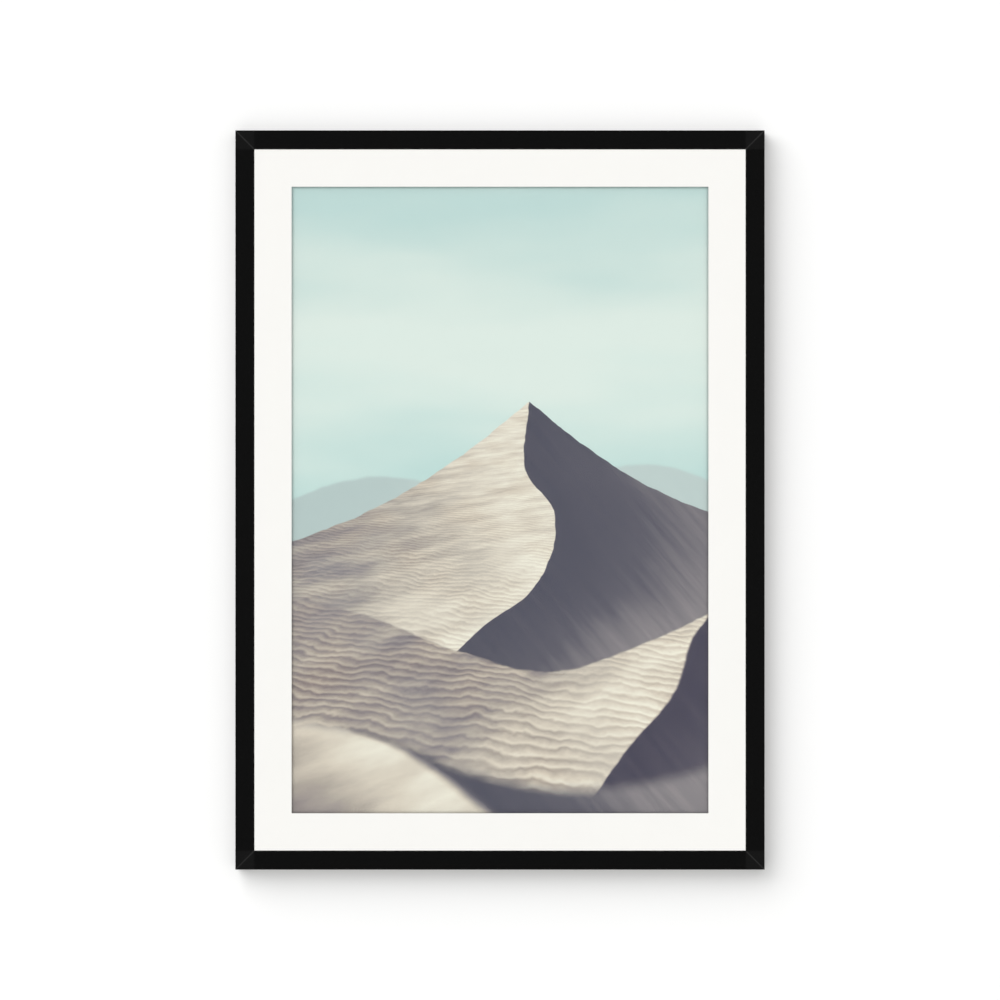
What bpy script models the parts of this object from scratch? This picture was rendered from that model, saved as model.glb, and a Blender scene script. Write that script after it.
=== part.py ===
"""A framed picture that hangs on a wall.

It has a mitred wooden frame, acrylic glazing, a window mat, a print and a board back. Units are metres.
+X is to the right as the picture is seen, +Y points into the wall and +Z is up. The origin lies on the wall,
midway between the two hangers, at the height where the wall's hooks bear on their teeth.
"""

import math

import bmesh
import bpy
from mathutils import Matrix, Vector

MM = 0.001
FIT_GAP = 0.3 * MM  # between two pieces that touch
SAME_PLACE = 1e-7  # two coordinates this close are the same
OVERSHOOT = 1 * MM  # how far a cutter stands past the face that it opens
SHARP_ANGLE = math.radians(35)  # an edge that turns more than this isn't shaded smooth

# The picture and the sheets that are packed in the frame
PRINT_WIDTH = 400 * MM
PRINT_HEIGHT = 600 * MM
PRINT_THICK = 0.5 * MM
MAT_OVERLAP = 1.25 * MM  # how far the mat covers each edge of the print
MAT_BORDER = 35.25 * MM  # the mat that shows between its window and the frame
MAT_THICK = 1.8 * MM
GLAZING_THICK = 2 * MM
BOARD_THICK = 3 * MM
SHEET_CLEARANCE = 1 * MM  # round every sheet, in the rebate

# The frame's rails: an L section whose front lip holds the sheets in
FACE_WIDTH = 18 * MM
LIP_WIDTH = 6 * MM
LIP_THICK = 6 * MM
RAIL_DEPTH = 24 * MM
ARRIS_RADIUS = 0.4 * MM
ARRIS_SEGMENTS = 3

# V-shaped nails across the back of each mitre
V_NAIL_SETBACK = 4.5 * MM  # from the frame's outer sides to the middle of each wing
V_NAIL_WING = 8 * MM
V_NAIL_THICK = 0.8 * MM
V_NAIL_DEPTH = 10 * MM
V_NAIL_SUNK = 0.3 * MM

# Flat steel points that hold the back board in
POINT_WIDTH = 6 * MM
POINT_THICK = 0.6 * MM
POINT_REACH = 11 * MM  # from the rebate's wall, over the board
POINT_SUNK = 6 * MM  # into the rebate's wall
POINT_TIP = 0.35  # width of the sunk end, as a share of the whole width
POINT_CORNER = 2.5 * MM
POINTS_ON_SIDE = 3
POINTS_ON_END = 2

# Toothed hangers, each held by two nails
HANGER_SPACING = 300 * MM
HANGER_LENGTH = 46 * MM
HANGER_HEIGHT = 9 * MM
HANGER_THICK = 0.8 * MM
HANGER_TAB = 9 * MM  # the flat end that is nailed down
HANGER_SLOPE = 3 * MM
HANGER_RISE = 1.3 * MM  # of the toothed middle over the ends
HANGER_CORNER = 1.5 * MM
TOOTH_COUNT = 8
TOOTH_DEPTH = 1.6 * MM
NAIL_SHANK_RADIUS = 0.6 * MM
NAIL_LENGTH = 9 * MM
NAIL_HEAD_RADIUS = 1.7 * MM
NAIL_HEAD_THICK = 0.7 * MM
ROUND_SIDES = 16

# Felt pads at the bottom corners of the back
PAD_RADIUS = 5 * MM
PAD_THICK = 2.7 * MM
PAD_FROM_SIDE = 26 * MM
PAD_EDGE = 0.5 * MM
PAD_SIDES = 32

# Worked out from the above
WINDOW_WIDTH = PRINT_WIDTH - 2 * MAT_OVERLAP
WINDOW_HEIGHT = PRINT_HEIGHT - 2 * MAT_OVERLAP
FRAME_WIDTH = WINDOW_WIDTH + 2 * (MAT_BORDER + FACE_WIDTH)
FRAME_HEIGHT = WINDOW_HEIGHT + 2 * (MAT_BORDER + FACE_WIDTH)
WALL_WIDTH = FACE_WIDTH - LIP_WIDTH  # the side of a rail, beside the rebate
SHEET_WIDTH = FRAME_WIDTH - 2 * (WALL_WIDTH + SHEET_CLEARANCE)
SHEET_HEIGHT = FRAME_HEIGHT - 2 * (WALL_WIDTH + SHEET_CLEARANCE)

BACK_Y = -(PAD_THICK + FIT_GAP)  # the pads hold the rails off the wall
FRONT_Y = BACK_Y - RAIL_DEPTH
GLAZING_Y = FRONT_Y + LIP_THICK + FIT_GAP
MAT_Y = GLAZING_Y + GLAZING_THICK + FIT_GAP
PRINT_Y = MAT_Y + MAT_THICK + FIT_GAP
BOARD_Y = PRINT_Y + PRINT_THICK + FIT_GAP
POINT_Y = BOARD_Y + BOARD_THICK + FIT_GAP

HANGER_Z = HANGER_HEIGHT / 2 - TOOTH_DEPTH  # puts the roots of the teeth at height 0
TOP_Z = HANGER_Z + WALL_WIDTH / 2
MIDDLE_Z = TOP_Z - FRAME_HEIGHT / 2
BOTTOM_Z = TOP_Z - FRAME_HEIGHT


def clear_scene():
    for old in list(bpy.data.objects):
        bpy.data.objects.remove(old, do_unlink=True)


def material(name, colour, roughness, metallic=0.0, alpha=1.0):
    """A plain Principled material; the colour is linear."""
    made = bpy.data.materials.new(name)
    made.use_nodes = True
    shader = made.node_tree.nodes["Principled BSDF"]
    shader.inputs["Base Color"].default_value = (*colour, 1)
    shader.inputs["Roughness"].default_value = roughness
    shader.inputs["Metallic"].default_value = metallic
    shader.inputs["Alpha"].default_value = alpha
    return made


def mesh_from(name, bm, finish=None):
    bmesh.ops.recalc_face_normals(bm, faces=bm.faces)
    mesh = bpy.data.meshes.new(name)
    bm.to_mesh(mesh)
    bm.free()
    mesh.shade_smooth()
    mesh.set_sharp_from_angle(angle=SHARP_ANGLE)
    if finish:
        mesh.materials.append(finish)
    return mesh


def place(name, mesh, carrier=None, location=(0, 0, 0)):
    """A new object of this mesh, in its carrier's space if it has one."""
    piece = bpy.data.objects.new(name, mesh)
    bpy.context.scene.collection.objects.link(piece)
    piece.parent = carrier
    piece.location = location
    return piece


def cut(piece, name, bm):
    """Cuts the shape in the bmesh, which is in the piece's own space, out of the piece."""
    cutter = place(name, mesh_from(name, bm), carrier=piece)
    cutter.hide_render = True
    cutter.display_type = "WIRE"
    boolean = piece.modifiers.new(name, "BOOLEAN")
    boolean.operation = "DIFFERENCE"
    boolean.solver = "EXACT"
    boolean.object = cutter


def add_box(bm, low, high):
    """Adds the box between two opposite corners."""
    low, high = Vector(low), Vector(high)
    shape = Matrix.Translation((low + high) / 2) @ Matrix.Diagonal((*(high - low), 1))
    bmesh.ops.create_cube(bm, size=1, matrix=shape)


def add_cylinder(bm, x, z, y_from, y_to, radius, sides=ROUND_SIDES):
    """Adds a closed cylinder along Y."""
    turn = Matrix.Rotation(math.pi / 2, 4, "X")
    shape = Matrix.Translation((x, (y_from + y_to) / 2, z)) @ turn
    bmesh.ops.create_cone(
        bm,
        cap_ends=True,
        segments=sides,
        radius1=radius,
        radius2=radius,
        depth=abs(y_to - y_from),
        matrix=shape,
    )


def extruded(outline, offset):
    """A bmesh of the flat outline, swept through the offset."""
    bm = bmesh.new()
    face = bm.faces.new([bm.verts.new(point) for point in outline])
    grown = bmesh.ops.extrude_face_region(bm, geom=[face])["geom"]
    moved = [item for item in grown if isinstance(item, bmesh.types.BMVert)]
    bmesh.ops.translate(bm, verts=moved, vec=offset)
    return bm


def round_edges(bm, edges, radius, segments):
    bmesh.ops.bevel(
        bm,
        geom=list(edges),
        offset=radius,
        offset_type="OFFSET",
        segments=segments,
        profile=0.5,
        affect="EDGES",
        material=-1,
    )


def edges_along(bm, axis, test):
    """The edges that run along an axis, 0 for X to 2 for Z, and whose middle passes the test."""
    found = []
    for edge in bm.edges:
        a, b = (vert.co for vert in edge.verts)
        others = [i for i in range(3) if i != axis]
        if all(abs(a[i] - b[i]) < SAME_PLACE for i in others) and test((a + b) / 2):
            found.append(edge)
    return found


# Rails. Each is modelled along X: its outer side at Z = 0, its front at Y = 0 and the picture below it.


def rail_mesh(name, length, finish):
    section = (
        (0, 0),
        (RAIL_DEPTH, 0),
        (RAIL_DEPTH, -WALL_WIDTH),
        (LIP_THICK, -WALL_WIDTH),
        (LIP_THICK, -FACE_WIDTH),
        (0, -FACE_WIDTH),
    )
    bm = extruded([(-length / 2, y, z) for y, z in section], (length, 0, 0))
    for vert in bm.verts:
        inset = -vert.co.z + FIT_GAP / math.sqrt(2)
        vert.co.x -= math.copysign(inset, vert.co.x)

    def on_arris(middle):
        outer = abs(middle.z) < SAME_PLACE
        sight = abs(middle.z + FACE_WIDTH) < SAME_PLACE and abs(middle.y) < SAME_PLACE
        return outer or sight

    round_edges(bm, edges_along(bm, 0, on_arris), ARRIS_RADIUS, ARRIS_SEGMENTS)
    return mesh_from(name, bm, finish)


def cut_v_nail_slots(rail, length):
    bm = bmesh.new()
    half_width = V_NAIL_THICK / 2 + FIT_GAP
    inner_end = length / 2 - V_NAIL_SETBACK - V_NAIL_WING - FIT_GAP
    slot_floor = RAIL_DEPTH - V_NAIL_SUNK - V_NAIL_DEPTH - FIT_GAP
    for side in (-1, 1):
        left, right = sorted((side * inner_end, side * length / 2))
        add_box(
            bm,
            (left, slot_floor, -V_NAIL_SETBACK - half_width),
            (right, RAIL_DEPTH + OVERSHOOT, -V_NAIL_SETBACK + half_width),
        )
    cut(rail, f"{rail.name}_v_nail_slots", bm)


def cut_point_slots(rail, places):
    bm = bmesh.new()
    front = POINT_Y - FRONT_Y - FIT_GAP
    back = POINT_Y - FRONT_Y + POINT_THICK + FIT_GAP
    half_width = POINT_WIDTH / 2 + FIT_GAP
    sunk_z = -WALL_WIDTH + POINT_SUNK + FIT_GAP
    for x in places:
        add_box(
            bm,
            (x - half_width, front, -WALL_WIDTH - OVERSHOOT),
            (x + half_width, back, sunk_z),
        )
    cut(rail, f"{rail.name}_point_slots", bm)


def point_mesh(finish):
    """A flat steel point, in its rail's space: its sunk end is tapered and its free end rounded."""
    y = POINT_Y - FRONT_Y
    half = POINT_WIDTH / 2
    sunk_z = -WALL_WIDTH + POINT_SUNK
    free_z = -WALL_WIDTH - POINT_REACH
    outline = (
        (-half, y, free_z),
        (half, y, free_z),
        (half, y, -WALL_WIDTH),
        (half * POINT_TIP, y, sunk_z),
        (-half * POINT_TIP, y, sunk_z),
        (-half, y, -WALL_WIDTH),
    )
    bm = extruded(outline, (0, POINT_THICK, 0))
    free_corners = edges_along(bm, 1, lambda middle: abs(middle.z - free_z) < SAME_PLACE)
    round_edges(bm, free_corners, POINT_CORNER, 4)
    return mesh_from("flexi_point", bm, finish)


def build_rails(lacquer, steel):
    """The four rails by side, with their flexi points."""
    sides = {
        "top": (FRAME_WIDTH, (0, FRONT_Y, TOP_Z), 0, POINTS_ON_END),
        "right": (FRAME_HEIGHT, (FRAME_WIDTH / 2, FRONT_Y, MIDDLE_Z), 90, POINTS_ON_SIDE),
        "bottom": (FRAME_WIDTH, (0, FRONT_Y, BOTTOM_Z), 180, POINTS_ON_END),
        "left": (FRAME_HEIGHT, (-FRAME_WIDTH / 2, FRONT_Y, MIDDLE_Z), 270, POINTS_ON_SIDE),
    }
    shared_point = point_mesh(steel)
    rails = {}
    for side, (length, location, degrees, point_count) in sides.items():
        name = f"rail_{side}"
        rail = place(name, rail_mesh(name, length, lacquer), location=location)
        rail.rotation_euler = (0, math.radians(degrees), 0)
        places = [length * ((i + 0.5) / point_count - 0.5) for i in range(point_count)]
        cut_v_nail_slots(rail, length)
        cut_point_slots(rail, places)
        for number, x in enumerate(places, 1):
            place(f"flexi_point_{side}_{number}", shared_point, rail, (x, 0, 0))
        rails[side] = rail
    return rails


def build_v_nails(steel):
    """An L of steel strip in each corner, with its bend on the mitre and a wing in each rail."""
    front = BACK_Y - V_NAIL_SUNK - V_NAIL_DEPTH
    back = BACK_Y - V_NAIL_SUNK
    near = V_NAIL_SETBACK - V_NAIL_THICK / 2
    bend = V_NAIL_SETBACK + V_NAIL_THICK / 2
    far = V_NAIL_SETBACK + V_NAIL_WING
    outline = ((near, near), (far, near), (far, bend), (bend, bend), (bend, far), (near, far))
    for up, height in ((1, "top"), (-1, "bottom")):
        for right, hand in ((-1, "left"), (1, "right")):
            corner_x = right * FRAME_WIDTH / 2
            corner_z = MIDDLE_Z + up * FRAME_HEIGHT / 2
            placed = [
                (corner_x - right * across, front, corner_z - up * down)
                for across, down in outline
            ]
            bm = extruded(placed, (0, back - front, 0))
            name = f"v_nail_{height}_{hand}"
            place(name, mesh_from(name, bm, steel))


def sheet(name, width, height, y, thick, finish):
    """A flat sheet centred in the frame, whose front is at y."""
    bm = bmesh.new()
    add_box(
        bm,
        (-width / 2, y, MIDDLE_Z - height / 2),
        (width / 2, y + thick, MIDDLE_Z + height / 2),
    )
    return place(name, mesh_from(name, bm, finish))


def cut_mat_window(mat):
    """The window is cut square through the board, so that its edge shades the print."""
    bm = bmesh.new()
    add_box(
        bm,
        (-WINDOW_WIDTH / 2, MAT_Y - OVERSHOOT, MIDDLE_Z - WINDOW_HEIGHT / 2),
        (WINDOW_WIDTH / 2, MAT_Y + MAT_THICK + OVERSHOOT, MIDDLE_Z + WINDOW_HEIGHT / 2),
    )
    cut(mat, "mat_window", bm)


def hanger_mesh(finish):
    """A strip with flat ends, a raised middle and teeth along its lower edge. Its back lies at Y = 0."""
    toothed = HANGER_LENGTH - 2 * (HANGER_TAB + HANGER_SLOPE)
    half_pitch = toothed / (2 * TOOTH_COUNT)
    stations = [(-HANGER_LENGTH / 2, 0, 0), (-HANGER_LENGTH / 2 + HANGER_TAB, 0, 0)]
    for i in range(2 * TOOTH_COUNT + 1):
        stations.append((-toothed / 2 + i * half_pitch, HANGER_RISE, TOOTH_DEPTH * (i % 2)))
    stations += [(HANGER_LENGTH / 2 - HANGER_TAB, 0, 0), (HANGER_LENGTH / 2, 0, 0)]

    bm = bmesh.new()
    columns = []
    for x, rise, cut_up in stations:
        lower = bm.verts.new((x, rise, -HANGER_HEIGHT / 2 + cut_up))
        upper = bm.verts.new((x, rise, HANGER_HEIGHT / 2))
        columns.append((lower, upper))
    for (lower, upper), (next_lower, next_upper) in zip(columns, columns[1:]):
        bm.faces.new((lower, next_lower, next_upper, upper))
    grown = bmesh.ops.extrude_face_region(bm, geom=list(bm.faces))["geom"]
    outer = [item for item in grown if isinstance(item, bmesh.types.BMVert)]
    bmesh.ops.translate(bm, verts=outer, vec=(0, HANGER_THICK, 0))
    corners = edges_along(bm, 1, lambda middle: abs(middle.x) > HANGER_LENGTH / 2 - SAME_PLACE)
    round_edges(bm, corners, HANGER_CORNER, 3)
    return mesh_from("hanger", bm, finish)


def nail_mesh(finish):
    """A round-headed nail along Y, with the underside of its head at Y = 0."""
    bm = bmesh.new()
    section = (
        (0, -NAIL_LENGTH),
        (NAIL_SHANK_RADIUS, -NAIL_LENGTH + 2 * NAIL_SHANK_RADIUS),
        (NAIL_SHANK_RADIUS, 0),
        (NAIL_HEAD_RADIUS, 0),
        (0.8 * NAIL_HEAD_RADIUS, 0.6 * NAIL_HEAD_THICK),
        (0.4 * NAIL_HEAD_RADIUS, 0.95 * NAIL_HEAD_THICK),
        (0, NAIL_HEAD_THICK),
    )
    line = [bm.verts.new((radius, y, 0)) for radius, y in section]
    edges = [bm.edges.new(pair) for pair in zip(line, line[1:])]
    bmesh.ops.spin(
        bm,
        geom=line + edges,
        cent=(0, 0, 0),
        axis=(0, 1, 0),
        angle=2 * math.pi,
        steps=ROUND_SIDES,
        use_merge=True,
    )
    bmesh.ops.remove_doubles(bm, verts=bm.verts, dist=1e-6)
    return mesh_from("hanger_nail", bm, finish)


def build_hangers(top_rail, steel):
    shared_hanger = hanger_mesh(steel)
    shared_nail = nail_mesh(steel)
    hanger_y = BACK_Y + FIT_GAP
    head_y = hanger_y + HANGER_THICK + FIT_GAP
    hole_radius = NAIL_SHANK_RADIUS + FIT_GAP
    hole_end = head_y - NAIL_LENGTH - FIT_GAP - FRONT_Y  # in the rail's space, whose front is at 0
    from_middle = (HANGER_LENGTH - HANGER_TAB) / 2
    rail_holes = bmesh.new()
    for side, hand in ((-1, "left"), (1, "right")):
        x = side * HANGER_SPACING / 2
        hanger = place(f"hanger_{hand}", shared_hanger, location=(x, hanger_y, HANGER_Z))
        holes = bmesh.new()
        for number, from_hanger in enumerate((-from_middle, from_middle), 1):
            nail_x = x + from_hanger
            rail_z = HANGER_Z - TOP_Z
            add_cylinder(holes, from_hanger, 0, -OVERSHOOT, HANGER_THICK + OVERSHOOT, hole_radius)
            add_cylinder(rail_holes, nail_x, rail_z, hole_end, RAIL_DEPTH + OVERSHOOT, hole_radius)
            place(f"hanger_nail_{hand}_{number}", shared_nail, location=(nail_x, head_y, HANGER_Z))
        cut(hanger, f"hanger_{hand}_holes", holes)
    cut(top_rail, "rail_top_nail_holes", rail_holes)


def build_pads(felt):
    for side, hand in ((-1, "left"), (1, "right")):
        bm = bmesh.new()
        x = side * (FRAME_WIDTH / 2 - PAD_FROM_SIDE)
        z = BOTTOM_Z + WALL_WIDTH / 2
        add_cylinder(bm, x, z, -PAD_THICK, 0, PAD_RADIUS, PAD_SIDES)
        on_wall = [edge for edge in bm.edges if all(abs(vert.co.y) < SAME_PLACE for vert in edge.verts)]
        round_edges(bm, on_wall, PAD_EDGE, 2)
        name = f"bumper_{hand}"
        place(name, mesh_from(name, bm, felt))


def build():
    clear_scene()
    lacquer = material("black_lacquered_wood", (0.006, 0.006, 0.006), 0.45)
    acrylic = material("clear_acrylic", (0.95, 0.97, 0.97), 0.05, alpha=0.12)
    mat_board = material("white_mat_board", (0.92, 0.91, 0.88), 0.9)
    paper = material("printed_paper", (0.55, 0.68, 0.65), 0.7)
    hardboard = material("hardboard", (0.25, 0.14, 0.07), 0.75)
    steel = material("zinc_plated_steel", (0.55, 0.56, 0.57), 0.4, metallic=1.0)
    felt = material("grey_felt", (0.18, 0.18, 0.18), 0.95)

    rails = build_rails(lacquer, steel)
    build_v_nails(steel)
    sheet("glazing", SHEET_WIDTH, SHEET_HEIGHT, GLAZING_Y, GLAZING_THICK, acrylic)
    mat = sheet("mat", SHEET_WIDTH, SHEET_HEIGHT, MAT_Y, MAT_THICK, mat_board)
    cut_mat_window(mat)
    sheet("print", PRINT_WIDTH, PRINT_HEIGHT, PRINT_Y, PRINT_THICK, paper)
    sheet("back_board", SHEET_WIDTH, SHEET_HEIGHT, BOARD_Y, BOARD_THICK, hardboard)
    build_hangers(rails["top"], steel)
    build_pads(felt)


build()
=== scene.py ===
"""The looks of a framed picture on a wall: lacquered rails, acrylic, a window mat, a print and a plain back.

Units are metres: +X to the right as the picture is seen, +Y into the wall and +Z up, with the wall at Y = 0.
"""

import math

import bmesh
import bpy
from mathutils import Matrix, Vector, noise


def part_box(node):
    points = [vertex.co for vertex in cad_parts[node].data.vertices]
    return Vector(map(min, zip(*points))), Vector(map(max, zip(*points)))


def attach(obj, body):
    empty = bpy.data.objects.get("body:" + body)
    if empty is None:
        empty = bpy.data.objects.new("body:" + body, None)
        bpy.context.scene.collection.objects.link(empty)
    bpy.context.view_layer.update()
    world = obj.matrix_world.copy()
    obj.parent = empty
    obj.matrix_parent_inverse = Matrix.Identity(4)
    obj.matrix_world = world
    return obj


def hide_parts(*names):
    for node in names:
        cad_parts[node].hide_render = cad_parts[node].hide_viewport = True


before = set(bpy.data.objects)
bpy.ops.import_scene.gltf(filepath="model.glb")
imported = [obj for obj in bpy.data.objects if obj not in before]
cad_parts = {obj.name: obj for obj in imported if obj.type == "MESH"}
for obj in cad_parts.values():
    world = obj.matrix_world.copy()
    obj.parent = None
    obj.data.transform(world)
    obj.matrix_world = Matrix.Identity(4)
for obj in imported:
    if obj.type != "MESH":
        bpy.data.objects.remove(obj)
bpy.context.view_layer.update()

MM = 0.001
SAME_PLACE = 1e-6  # two places this close are one
SHARP_ANGLE = math.radians(35)  # an edge that turns more than this isn't shaded smooth
FLAT_ANGLE = math.radians(1)  # faces that turn less than this lie in one plane
CUT_ANGLE = math.radians(2)  # the same, after a cut
FIT_GAP = 0.3 * MM  # between two pieces that touch
SHEET_CLEARANCE = 1 * MM  # round the sheets, in the rebate
MAT_OVERLAP = 1.25 * MM  # how far the mat covers each edge of the print

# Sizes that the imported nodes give
PRINT_LOW, PRINT_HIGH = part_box("print")
MAT_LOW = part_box("mat")[0]
FRAME_LOW = Vector((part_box("rail_left")[0].x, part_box("rail_top")[0].y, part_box("rail_bottom")[0].z))
FRAME_HIGH = Vector((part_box("rail_right")[1].x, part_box("rail_top")[1].y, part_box("rail_top")[1].z))
FRAME_SIZE = FRAME_HIGH - FRAME_LOW
MIDDLE_Z = (FRAME_LOW.z + FRAME_HIGH.z) / 2
FACE_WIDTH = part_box("rail_top")[1].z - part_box("rail_top")[0].z
RAIL_WALL = MAT_LOW.x - FRAME_LOW.x - SHEET_CLEARANCE
LIP_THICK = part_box("glazing")[0].y - FRAME_LOW.y - FIT_GAP
WINDOW_INSET = PRINT_LOW.x + MAT_OVERLAP - FRAME_LOW.x

# Lacquered rails
ARRIS = 0.4 * MM  # on the edges in sight
BACK_ARRIS = 0.3 * MM
MITRE_GROOVE = 0.1 * MM
ARRIS_FACES = 4
BACK_ARRIS_FACES = 2

# Steel driven into the wood
DRIVEN_GAP = 0.04 * MM
V_NAIL_THICK = 0.8 * MM
NAIL_SHANK = 0.6 * MM  # radius
NAIL_SIDES = 16
STEEL_ARRIS = (  # each kind of node's name, and how wide its sheared edges are eased
    ("v_nail", 0.1 * MM),
    ("flexi_point", 0.12 * MM),
    ("hanger_nail", 0.1 * MM),
    ("hanger", 0.15 * MM),
)

# Felt pads
FELT_SIDES = 64
FELT_LAYERS = 5
FELT_RIM = 0.6 * MM
FELT_RIM_FACES = 4
FELT_RING = 0.5 * MM
FELT_RINGS = 8
FELT_LUMP = 0.45 * MM  # how wide the lumps of the felt's fibres are
FELT_LUMP_DEPTH = 0.09 * MM


# ---------------------------------------------------------------- small helpers


def linear(hex_colour):
    """The linear RGBA colour of an sRGB hex value."""
    channels = [int(hex_colour[i : i + 2], 16) / 255 for i in (1, 3, 5)]
    return (*(c / 12.92 if c <= 0.04045 else ((c + 0.055) / 1.055) ** 2.4 for c in channels), 1.0)


def add_node(tree, kind, inputs=(), **settings):
    """Adds a shader node. Its inputs, by name or in the order shown, are values, sockets or nodes."""
    node = tree.nodes.new(f"ShaderNode{kind}")
    for name, value in settings.items():
        setattr(node, name, value)
    shown = [socket for socket in node.inputs if socket.enabled]
    named = inputs.items() if isinstance(inputs, dict) else enumerate(inputs)
    for key, value in named:
        socket = node.inputs[key] if isinstance(key, str) else shown[key]
        if isinstance(value, bpy.types.Node):
            value = next(output for output in value.outputs if output.enabled)
        if isinstance(value, bpy.types.NodeSocket):
            tree.links.new(value, socket)
        else:
            socket.default_value = value
    return node


def new_material(name, **plain_values):
    """A material with one Principled shader, and its plain values by socket name with _ for spaces."""
    material = bpy.data.materials.new(name)
    material.use_nodes = True
    shader = material.node_tree.nodes["Principled BSDF"]
    for socket, value in plain_values.items():
        shader.inputs[socket.replace("_", " ")].default_value = value
    return material, material.node_tree, shader


def set_stops(ramp, stops):
    """Gives a colour ramp its (position, sRGB hex) stops."""
    while len(ramp.elements) > 1:
        ramp.elements.remove(ramp.elements[-1])
    ramp.elements[0].position = stops[0][0]
    ramp.elements[0].color = linear(stops[0][1])
    for position, colour in stops[1:]:
        ramp.elements.new(position).color = linear(colour)


def set_points(node, points):
    """Bends a Float Curve through points from 0 to 1; a third value of "peak" makes that one a corner."""
    curve = node.mapping.curves[0]
    while len(curve.points) > 2:
        curve.points.remove(curve.points[1])
    curve.points[0].location = points[0][:2]
    curve.points[1].location = points[-1][:2]
    for point in points[1:-1]:
        made = curve.points.new(*point[:2])
        if len(point) > 2:
            made.handle_type = "VECTOR"
    node.mapping.update()


def mesh_from(name, bm, *materials):
    """A mesh from the bmesh, smooth but for its sharp edges, with these materials. It uses up the bmesh."""
    mesh = bpy.data.meshes.new(name)
    bm.to_mesh(mesh)
    bm.free()
    mesh.shade_smooth()
    mesh.set_sharp_from_angle(angle=SHARP_ANGLE)
    for material in materials:
        mesh.materials.append(material)
    return mesh


def new_piece(name, mesh, slot, *nodes):
    """A finished piece of the object, in place of these CAD nodes."""
    piece = bpy.data.objects.new(name, mesh)
    bpy.context.scene.collection.objects.link(piece)
    piece.modifiers.new("flat_faces_shade_flat", "WEIGHTED_NORMAL").keep_sharp = True
    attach(piece, "root")
    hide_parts(*nodes)
    return piece


def add_box(bm, low, high):
    """Adds a box between two corners."""
    low, high = Vector(low), Vector(high)
    shape = Matrix.Translation((low + high) / 2) @ Matrix.Diagonal((*(high - low), 1))
    bmesh.ops.create_cube(bm, size=1, matrix=shape)


def add_pin(bm, low, high, radius, sides):
    """Adds a round pin in the middle of a box, as long as the box is deep along Y."""
    turned = Matrix.Translation((low + high) / 2) @ Matrix.Rotation(math.pi / 2, 4, "X")
    bmesh.ops.create_cone(
        bm,
        cap_ends=True,
        segments=sides,
        radius1=radius,
        radius2=radius,
        depth=high.y - low.y,
        matrix=turned,
    )


def ease(bm, edges, width, segments):
    """Rounds these edges off; one segment makes a chamfer."""
    bmesh.ops.bevel(
        bm,
        geom=list(edges),
        offset=width,
        offset_type="OFFSET",
        segments=segments,
        profile=0.5,
        affect="EDGES",
        material=-1,
    )


def softened_copy(node, width, segments=2):
    """A copy of a CAD node's mesh whose flat faces are whole again and whose sharp edges are eased."""
    bm = bmesh.new()
    bm.from_mesh(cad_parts[node].data)
    bmesh.ops.remove_doubles(bm, verts=bm.verts, dist=SAME_PLACE)
    bmesh.ops.dissolve_limit(bm, angle_limit=FLAT_ANGLE, verts=bm.verts, edges=bm.edges)
    sharp = [edge for edge in bm.edges if edge.calc_face_angle(0) > SHARP_ANGLE]
    ease(bm, sharp, width, segments)
    return bm


# ---------------------------------------------------------------- materials


def in_from_sides(tree, place):
    """How far a place is in from the frame's left or right side, and from its top or bottom."""
    x, _, z = add_node(tree, "SeparateXYZ", [place]).outputs
    sides = []
    for coordinate, middle, size in ((x, 0, FRAME_SIZE.x), (z, MIDDLE_Z, FRAME_SIZE.z)):
        shifted = add_node(tree, "Math", [coordinate, middle], operation="SUBTRACT")
        far = add_node(tree, "Math", [shifted], operation="ABSOLUTE")
        sides.append(add_node(tree, "Math", [size / 2, far], operation="SUBTRACT"))
    return sides


def off_mitre(tree, sides):
    """How far a place is from the line of its corner's mitre, from its distances in from the sides."""
    difference = add_node(tree, "Math", sides, operation="SUBTRACT")
    return add_node(tree, "Math", [difference], operation="ABSOLUTE")


def along_grain(axis, length, width):
    """The size of marks that are this long along the wood's grain and this wide across it."""
    return (length, width, width) if axis == "x" else (width, width, length)


def drawn_out(tree, place, size, turn=(0, 0, 0), **inputs):
    """A noise whose marks have this size along x, y and z, turned by these angles."""
    laid = {"Vector": place, "Rotation": turn, "Scale": size}
    marks = add_node(tree, "Mapping", laid, vector_type="TEXTURE")
    return add_node(tree, "TexNoise", {"Vector": marks, "Scale": 1.0, **inputs})


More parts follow.
